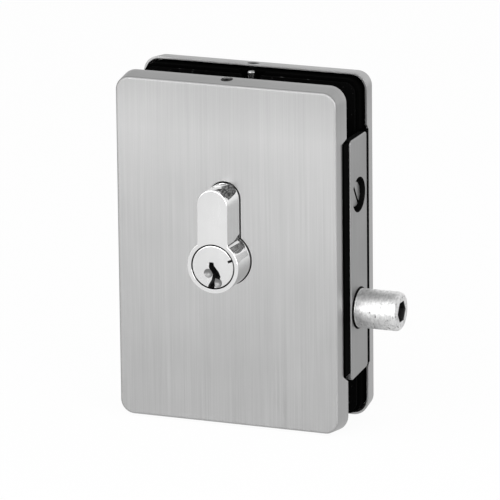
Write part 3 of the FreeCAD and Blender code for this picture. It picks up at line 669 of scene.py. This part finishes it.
def roundBolt(name):
    # turned profile from the tail to the rounded nose, then down into a six-sided socket
    b = bolt
    z, radius, half = places["boltZ"], b["radius"], b["flats"] / 2
    ring, ringEnd, low = b["ringX"], b["ringX"] + b["ringWide"], b["radius"] - b["ringDepth"]
    points = [(b["tail"], 0.0), (b["tail"], radius - b["tailEdge"])]
    points += [(x, radius) for x in (b["tail"] + b["tailEdge"], b["rows"][0], ring - b["shadeBelt"], ring)]
    points += [(ring, low), (ringEnd, low)]
    points += [(x, radius) for x in (ringEnd, *b["rows"][1:])]
    points += [(b["end"] - along, radius - inset) for along, inset in roundSteps(b["nose"], range(0, 91, 10))]
    first = len(points)  # the next three rows are six-sided
    edgeDeep, edgeWide = b["socketEdge"]
    floorX = b["end"] - b["socket"]
    points += [(b["end"], half + edgeWide), (b["end"] - edgeDeep, half), (floorX, half)]
    points.append((floorX - b["drillPoint"], 0.0))
    bar = turned(name, points, "x", (0, 0, z), 96, flats=range(first, first + 3))
    painted(bar, boltSteel)
    centres = faceCentres(bar)
    # painted shade: a dark belt round the bolt beside the plate stands in for the shadow of the gap round it
    paintFaces(bar, slotShade, (centres[:, 0] > ring - b["shadeBelt"]) & (centres[:, 0] < ring - 0.01))
    # the corners of the six-sided socket lie at half / cos 30 degrees, 1.155 times half
    inSocket = np.hypot(centres[:, 1], centres[:, 2] - z) < half * 1.16
    # painted shade: the socket's walls and floor take the darker steel
    paintFaces(bar, socketShade, inSocket & (centres[:, 0] > floorX - over))
    far, half = radius + over, b["slotHalf"]
    slot = block((b["tail"] - over, -half, z - far), (b["tail"] + b["slotLength"], half, z + far))
    pin = rod("y", (b["pinX"], 0, z), b["pinHole"], -far, far)
    return cutAway(bar, [painted(cutter, boltSteel) for cutter in (slot, pin)])


finishPiece(roundBolt("roundBoltBar"), "deadbolt", ["deadbolt"])
print("bolt made")


# Cylinder

cylinder = {
    "edge": 0.2, "plugBore": 6.55, "collarBore": 7.2, "collarDepth": 1.65, "boreEdge": 0.06, "faceRow": 0.1,
    "camHalf": 5.4, "camReach": 15.7, "screwHole": 2.52, "screwReach": 9,
    "pinFirst": 4.4, "pinPitch": 3.6, "pinCount": 5, "pinFrom": 5, "pinTo": 26,
}


def pinDepths(side):
    c = cylinder
    return [side * (places["cylinderEnd"] - c["pinFirst"] - c["pinPitch"] * i) for i in range(c["pinCount"])]


def cylinderShell(name):
    # one closed band: out of the bore, over the front end, back along the profile and in through the bore
    c = cylinder
    end, collar, mouth = places["cylinderEnd"], c["collarBore"], c["collarBore"] + c["boreEdge"]
    angle = sharedAngles(bearings(grownProfile(0.0), (0, 0)))
    around = np.column_stack([np.cos(angle), np.sin(angle)])
    circles = [(c["plugBore"], end - c["collarDepth"]), (collar, end - c["collarDepth"]),
               (collar, end - c["boreEdge"]), (mouth, end), (mouth + c["faceRow"], end)]
    outlines = [(0.0, c["edge"] + c["faceRow"])] + roundSteps(c["edge"], (90, 67.5, 45, 22.5, 0))
    rows = []
    for side in (-1, 1):
        half = [acrossY(around * radius, side * y) for radius, y in circles]
        for along, inset in outlines:
            half.append(acrossY(alongRays(grownProfile(-inset), angle, (0, 0)), side * (end - along)))
        rows += half if side < 0 else half[::-1]
    shell = painted(gridPiece(name, rows, closeRows=True), nickelShell)
    centres = faceCentres(shell)
    # painted shade: the collar bore round the plug is lined dark
    paintFaces(shell, slotShade, np.hypot(centres[:, 0], centres[:, 2]) < collar + 0.02)
    reach, half = c["camReach"], c["camHalf"]
    cutters = [block((-reach, -half, -reach), (reach, half, reach)),
               rod("x", (0, 0, places["screwZ"]), c["screwHole"], -c["screwReach"], c["screwReach"])]
    for y in (*pinDepths(-1), *pinDepths(1)):
        cutters.append(rod("z", (0, y, 0), places["pinHole"], c["pinFrom"], c["pinTo"], 32))
    return cutAway(shell, [painted(cutter, nickelShell) for cutter in cutters])


# faceRound: steps of the face's rim, how far behind the face and how far in; scoops: x, z, half width
# and depth of each recess beside the key slot
plug = {
    "collar": 7.15, "collarDepth": 1.6, "radius": 6.5, "rows": (10.0, 17.0), "shoulder": 4.2,
    "tail": 4.0, "tailEnd": 1.8, "tailEdge": 0.2, "groove": 4.72, "grooveWide": 0.59, "grooveRadius": 5.9,
    "bevel": 0.45, "ring": 0.42, "slotFrom": 6.2, "pinFrom": 1.0, "pinTo": 8.5,
    "faceRound": ((0.1, 0.0), (0.03, 0.05), (0.0, 0.14), (0.0, 0.24)),
    "scoops": ((-1.5, -2.1, 1.45, 0.55), (1.45, -4.9, 1.6, 0.6)),
    "markFrom": 5.45, "markHalf": 0.4, "markDeep": 0.4, "markTurn": 22.0,
}
keyOutline = [
    (-1.1, 1.5), (0.3, 1.5), (0.45, 0.5), (2.0, -1.4), (2.6, -2.9), (2.2, -4.0), (0.8, -3.5), (0.4, -4.8),
    (0.6, -6.1), (0.2, -8.15), (-1.9, -8.15), (-1.5, -5.9), (-0.4, -4.1), (0.0, -2.3), (-1.3, -0.2),
]


def keyPlug(name, side):
    # turned profile with a bevelled face; the key slot and pin holes are cut out of it
    p = plug
    end, radius, collar = places["cylinderEnd"], p["radius"], p["collar"]
    start, edge, tail, low = p["tailEnd"], p["tailEdge"], p["tail"], p["grooveRadius"]
    grooveEnd, lip = p["groove"] + p["grooveWide"], collar - p["ring"]
    points = [(start, 0.0), (start, tail - edge), (start + edge, tail), (p["shoulder"], tail),
              (p["shoulder"], radius), (p["groove"], radius), (p["groove"], low), (grooveEnd, low)]
    points += [(y, radius) for y in (grooveEnd, *p["rows"], end - p["collarDepth"])]
    points += [(end - p["collarDepth"], collar), (end - p["bevel"], collar), (end - p["bevel"], lip)]
    points += [(end - along, lip - inset) for along, inset in p["faceRound"]]
    points = [(side * y, r) for y, r in points + [(end, 0.0)]]
    core = painted(turned(name, points, "y", (0, 0, 0), 96), nickelPlug)
    centres = faceCentres(core)
    # painted shade: the collar's wall and bevel outside the lip are lined dark, as a dark ring round the face
    paintFaces(core, slotShade, np.hypot(centres[:, 0], centres[:, 2]) > lip + 0.02)
    outline = np.array(keyOutline[::-1], float)
    slotRows = [acrossY(outline, side * p["slotFrom"]), acrossY(outline, side * (end + over))]
    # painted shade: the key slot is lined dark
    cutters = [painted(gridPiece("cutter", slotRows), slotShade)]
    for x, z, wide, deep in p["scoops"]:
        # a ball that meets the face in a circle: its radius is (wide squared + deep squared) / (2 deep)
        ball = (wide ** 2 + deep ** 2) / (2 * deep)
        sweep = np.radians(np.linspace(0, 180, 41))
        dome = [(side * (end + ball - deep - ball * math.cos(a)), ball * math.sin(a)) for a in sweep]
        cutters.append(painted(turned("cutter", dome, "y", (x, 0, z), 48), scoopShade))
    low, high, half = p["markFrom"], collar + over, p["markHalf"]
    mark = block((low, side * end - p["markDeep"], -half), (high, side * end + p["markDeep"], half))
    mark.data.transform(Matrix.Rotation(-math.radians(p["markTurn"]), 4, "Y"))
    # painted shade: the index mark is lined dark
    cutters.append(painted(mark, slotShade))
    for y in pinDepths(side):
        hole = rod("z", (0, y, 0), places["pinHole"], p["pinFrom"], p["pinTo"], 32)
        cutters.append(painted(hole, nickelPlug))
    return cutAway(core, cutters)


unmirrored = [
    finishPiece(cylinderShell("cylinderShell"), "housing", ["cylinder_body"]),
    finishPiece(keyPlug("frontKeyPlug", -1), "front_plug", ["front_plug"]),
    finishPiece(keyPlug("rearKeyPlug", 1), "rear_plug", ["rear_plug"]),
]
unmirrored += [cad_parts[n] for n in ("driver_pins", "pin_springs", "front_key_pins", "rear_key_pins")]
for piece in unmirrored:
    piece.visible_glossy = False  # the brushed covers stay free of the cylinder's blurred mirror image
print("cylinder and plugs made")


# Screws

cylinderScrew = {
    "radius": 2.5, "point": 0.5, "head": 4.0, "headRound": ((0.4, 0.0), (0.12, 0.12), (0.0, 0.4)), "rim": 1.3,
    "cone": 1.5, "end": -4.0, "slotHalf": 0.5, "slotDepth": 0.9, "slotTurn": -57.0,
}


def longScrew(name):
    # pointed end, thin shank, countersunk head with a low round rim and one slot
    s = cylinderScrew
    z, back, face = places["screwZ"], forend["back"], forend["back"] + s["rim"]
    points = [(s["end"], 0.0), (s["end"], s["radius"] - s["point"]), (s["end"] + s["point"], s["radius"]),
              (back - s["cone"], s["radius"]), (back, s["head"])]
    points += [(face - along, s["head"] - inset) for along, inset in s["headRound"]]
    screw = painted(turned(name, points + [(face, 0.0)], "x", (0, 0, z), 64), screwDull)
    far = s["head"] + over
    slot = block((face - s["slotDepth"], -far, -s["slotHalf"]), (face + over, far, s["slotHalf"]))
    turn = Matrix.Rotation(math.radians(s["slotTurn"]), 4, "X")
    slot.data.transform(Matrix.Translation((0, 0, z * mm)) @ turn)
    # painted shade: the slot is lined dark
    return cutAway(screw, [painted(slot, slotShade)])


grub = {
    "radius": 1.75, "outer": 55.05, "inner": 48.1, "middle": 1.0, "bevel": 0.3, "flats": 1.6, "depth": 1.5,
    "drillPoint": 0.3,
}
stopScrew = {
    "x": 0.9, "y": 5.4, "radius": 1.2, "top": 55.1, "bottom": 48.6, "bevel": 0.3, "slotHalf": 0.2,
    "slotDepth": 0.5, "slotReach": 2,
}


def coverGrubs(name):
    # four short screws: flat inner end, bevelled outer end and a six-sided socket
    g = grub
    made = []
    for side, end in ((-1, -1), (-1, 1), (1, -1), (1, 1)):
        ends = [(g["inner"], 0.0), (g["inner"], g["radius"]), (g["outer"] - g["bevel"], g["radius"]),
                (g["outer"], g["radius"] - g["bevel"])]
        socket = [(g["outer"], g["flats"] / 2), (g["outer"] - g["depth"], g["flats"] / 2),
                  (g["outer"] - g["depth"] - g["drillPoint"], 0.0)]
        points = [(end * z, r) for z, r in ends + socket]
        middle = (places["grubX"], side * places["grubY"], g["middle"])
        made.append(painted(turned("part", points, "z", middle, 48, flats=(4, 5)), screwDark))
    return joined(name, made)


def stopPair(name):
    # two small upright screws with a slot across the top
    s = stopScrew
    x, top = s["x"], s["top"]
    points = [(s["bottom"], 0.0), (s["bottom"], s["radius"]), (top - s["bevel"], s["radius"]),
              (top, s["radius"] - s["bevel"]), (top, 0.0)]
    made = []
    for y in (-s["y"], s["y"]):
        screw = painted(turned("part", points, "z", (x, y, 0), 40), screwBright)
        slot = block((x - s["slotReach"], y - s["slotHalf"], top - s["slotDepth"]),
                     (x + s["slotReach"], y + s["slotHalf"], top + over))
        # painted shade: each slot is lined dark
        made.append(cutAway(screw, [painted(slot, slotShade)]))
    return joined(name, made)


finishPiece(longScrew("cylinderScrewLong"), "housing", ["cylinder_screw"])
finishPiece(coverGrubs("coverGrubScrews"), "housing", ["cover_screws"])
finishPiece(stopPair("stopScrewPair"), "housing", ["stop_screws"])
print("screws made")


# Room, light and camera

room = {
    "floorZ": -54.5, "floorHalf": 3000, "floorColour": (0.86, 0.86, 0.86), "worldLight": 0.55,
    "glow": 0.95,  # share of plain white in what the camera sees of the floor
    "mirrored": 0.86,  # brightness of the floor for mirrored rays
    "ceiling": 0.6, "fade": (0.1, 0.8),  # grey overhead, and how steep a ray is where it starts and is full
    "sides": 0.6, "sideFade": (0.5, 0.85),  # the same for the side walls
}


def mixShader(tree, factor, first, second):
    # factor is a number or a socket
    mix = newNode(tree, "ShaderNodeMixShader")
    if isinstance(factor, float):
        mix.inputs["Fac"].default_value = factor
    else:
        tree.links.new(factor, mix.inputs["Fac"])
    tree.links.new(first, mix.inputs[1])
    tree.links.new(second, mix.inputs[2])
    return mix.outputs["Shader"]


def rayIs(tree, *kinds):
    # one where the ray is of one of the kinds, else nought
    path = newNode(tree, "ShaderNodeLightPath")
    total = path.outputs["Is " + kinds[0] + " Ray"]
    for kind in kinds[1:]:
        total = reckoned(tree, "MAXIMUM", total, path.outputs["Is " + kind + " Ray"])
    return total


def makeFloor():
    # near white for the camera, an even pale grey for mirrored rays, plain paint for all others
    half = room["floorHalf"]
    corners = np.array([[-half, -half], [half, -half], [half, half], [-half, half]])
    points = np.column_stack([corners, np.full(4, room["floorZ"])]) * mm
    mesh = bpy.data.meshes.new("paleFloor")
    mesh.from_pydata(points.tolist(), [], [(0, 1, 2, 3)])
    made = bpy.data.materials.new("paleFloorPaint")
    made.use_nodes = True
    tree = made.node_tree
    tree.nodes.clear()
    paint = newNode(tree, "ShaderNodeBsdfDiffuse", {"Color": (*room["floorColour"], 1)}).outputs["BSDF"]
    glow = newNode(tree, "ShaderNodeEmission", {"Strength": 1.0}).outputs["Emission"]
    mirrored = newNode(tree, "ShaderNodeEmission", {"Strength": room["mirrored"]}).outputs["Emission"]
    shown = mixShader(tree, room["glow"], paint, glow)
    unseen = mixShader(tree, rayIs(tree, "Glossy", "Transmission"), paint, mirrored)
    out = newNode(tree, "ShaderNodeOutputMaterial")
    tree.links.new(mixShader(tree, rayIs(tree, "Camera"), unseen, shown), out.inputs["Surface"])
    painted(newObject("paleFloor", mesh), made)


def makeWorld():
    # white that greys overhead for the camera and mirrored rays, and an even soft light for all others
    world = bpy.data.worlds.new("paleRoom")
    bpy.context.scene.world = world
    world.use_nodes = True
    tree = world.node_tree
    tree.nodes.clear()
    direction = newNode(tree, "ShaderNodeTexCoord").outputs["Generated"]
    parts = newNode(tree, "ShaderNodeSeparateXYZ")
    tree.links.new(direction, parts.inputs["Vector"])
    sky = toColour(tree, parts.outputs["Z"], grey(1.0), grey(room["ceiling"]), *room["fade"])
    # mirrored rays meet grey side walls, so that bright metal stands out in the side views
    aside = reckoned(tree, "ABSOLUTE", parts.outputs["X"])
    walls = toned(tree, sky, aside, 1.0, room["sides"], *room["sideFade"])
    mirroredSky = newNode(tree, "ShaderNodeBackground")
    tree.links.new(walls, mirroredSky.inputs["Color"])
    plain = newNode(tree, "ShaderNodeBackground", {"Color": (1, 1, 1, 1), "Strength": room["worldLight"]})
    seen = newNode(tree, "ShaderNodeBackground")
    tree.links.new(sky, seen.inputs["Color"])
    unseen = mixShader(tree, rayIs(tree, "Glossy", "Transmission"), plain.outputs[0], mirroredSky.outputs[0])
    out = newNode(tree, "ShaderNodeOutputWorld")
    tree.links.new(mixShader(tree, rayIs(tree, "Camera"), unseen, seen.outputs[0]), out.inputs["Surface"])


# watts, the side of each square lamp in metres and its place in millimetres
lamps = [
    {"name": "keySoftbox", "at": (-420, -710, 530), "size": 1.7, "watts": 7.4},
    {"name": "frontSoftbox", "at": (250, -870, 430), "size": 1.2, "watts": 3.7},
    {"name": "lowSoftbox", "at": (-150, -430, 20), "size": 0.2, "watts": 0.28},
    {"name": "sideSoftbox", "at": (230, -430, -10), "size": 0.2, "watts": 0.2},
    {"name": "rearSoftbox", "at": (300, 900, 420), "size": 1.6, "watts": 2.8},
    {"name": "fillSoftbox", "at": (800, -500, 260), "size": 0.6, "watts": 3.0},
]
# each card is a painted dark reflection, dark on the side from which its corners run anticlockwise; a row of
# slats gives y and the low and high angle round the barrel
reflectionCards = [
    {"name": "legReflectionCard", "level": 0.01, "share": 1.0,
     "corners": ((-2.5, -16.1, 30.5), (0.2, -16.1, 25.8), (4.6, -16.1, 22.4), (11.0, -16.1, 22.6),
                 (9.0, -16.1, 31.0))},
    {"name": "creaseReflectionCard", "level": 0.01, "share": 1.0,
     "corners": ((5.05, -16.1, 8.6), (4.95, -16.1, 7.3), (7.3, -16.1, 5.29), (8.7, -16.1, 4.5),
                 (7.64, -16.1, 5.95))},
    {"name": "barrelReflectionSlats", "level": 0.006, "share": 1.0,
     "slats": ((-25.3, 36, 50), (-24.4, 31, 50), (-21.5, 29.5, 49), (-16.3, 34, 48))},
    {"name": "barrelReflectionNet", "level": 0.006, "share": 0.42,
     "slats": ((-25.6, 11, 29), (-22.5, 14.2, 27.8), (-18.5, 13.5, 26.7), (-16.3, 15, 25.5))},
]
slat = {"inner": 8.54, "outer": 9.06, "step": 0.85, "points": 5}
# painted reflection: the cards' dark grey is blotched lighter
blotch = {"grains": (900.0, 420.0, 900.0), "brighter": 14, "from": 0.42, "to": 0.62}


def slatCorners(table):
    # strips that stand off the barrel, each at one y, so that only rays along the barrel meet them;
    # low and high angle lie on straight lines between the rows; x = r cos(a), z = r sin(a)
    y, low, high = np.array(table, float).T
    depths = np.arange(y[0], y[-1], slat["step"])
    ends = [np.interp(depths, y, angles) for angles in (low, high)]
    turn = np.radians(np.linspace(*ends, slat["points"], axis=1))
    turn = np.hstack([turn, turn[:, ::-1]])
    radius = np.repeat((slat["outer"], slat["inner"]), slat["points"])
    depth = np.repeat(depths[:, None], turn.shape[1], axis=1)
    return np.stack([radius * np.cos(turn), depth, radius * np.sin(turn)], axis=-1)


def makeReflectionCards():
    # painted dark reflections: small dark cards before the cover and along the barrel, which only mirrored
    # rays from the front see
    for flag in reflectionCards:
        faces = slatCorners(flag["slats"]) if "slats" in flag else np.array([flag["corners"]])
        points = faces.reshape(-1, 3) * mm
        index = np.arange(len(points)).reshape(len(faces), -1)
        mesh = bpy.data.meshes.new(flag["name"])
        mesh.from_pydata(points.tolist(), [], index.tolist())
        made, tree, shader = startMaterial(flag["name"], 0.0, 0.9)
        dark, light = grey(flag["level"]), grey(flag["level"] * blotch["brighter"])
        field = noiseField(tree, blotch["grains"])
        blotched = toColour(tree, field, dark, light, blotch["from"], blotch["to"])
        tree.links.new(blotched, shader.inputs["Base Color"])
        behind = newNode(tree, "ShaderNodeNewGeometry").outputs["Backfacing"]
        clear = newNode(tree, "ShaderNodeBsdfTransparent").outputs["BSDF"]
        out = tree.nodes["Material Output"]
        shown = mixShader(tree, behind, shader.outputs["BSDF"], clear)
        tree.links.new(mixShader(tree, flag["share"], clear, shown), out.inputs["Surface"])
        card = painted(newObject(flag["name"], mesh), made)
        for ray in ("camera", "diffuse", "shadow", "transmission", "volume_scatter"):
            setattr(card, "visible_" + ray, False)


def makeLamps():
    # square lamps that aim at the origin
    for lamp in lamps:
        data = bpy.data.lights.new(lamp["name"], "AREA")
        data.size = lamp["size"]
        data.energy = lamp["watts"]
        light = newObject(lamp["name"], data)
        light.location = Vector(lamp["at"]) * mm
        light.visible_camera = False
        light.rotation_euler = (-light.location).to_track_quat("-Z", "Y").to_euler()


camera = {
    "azimuth": 21.778, "elevation": 15.497, "roll": -0.63, "distance": 1863.0, "target": (8.31, -16.0, 3.53),
    "lens": 432.19, "sensor": 36.0, "clip": (0.05, 30.0),
}


def makeCamera():
    # back points from the target to the camera; the frame is turned about it by the roll
    az, el, roll = (math.radians(camera[k]) for k in ("azimuth", "elevation", "roll"))
    back = Vector((math.sin(az) * math.cos(el), -math.cos(az) * math.cos(el), math.sin(el)))
    right = Vector((math.cos(az), math.sin(az), 0))
    up = back.cross(right)
    across = right * math.cos(roll) + up * math.sin(roll)
    upright = up * math.cos(roll) - right * math.sin(roll)
    data = bpy.data.cameras.new("photoCamera")
    data.sensor_width = camera["sensor"]
    data.lens = camera["lens"]
    data.clip_start, data.clip_end = camera["clip"]
    eye = newObject("photoCamera", data)
    turn = Matrix((across, upright, back)).transposed().to_4x4()
    place = (Vector(camera["target"]) + back * camera["distance"]) * mm
    eye.matrix_world = Matrix.Translation(place) @ turn
    bpy.context.scene.camera = eye


makeFloor()
makeWorld()
makeLamps()
makeReflectionCards()
makeCamera()
bpy.context.scene.view_settings.view_transform = "Standard"
print("room, lamps and camera set")
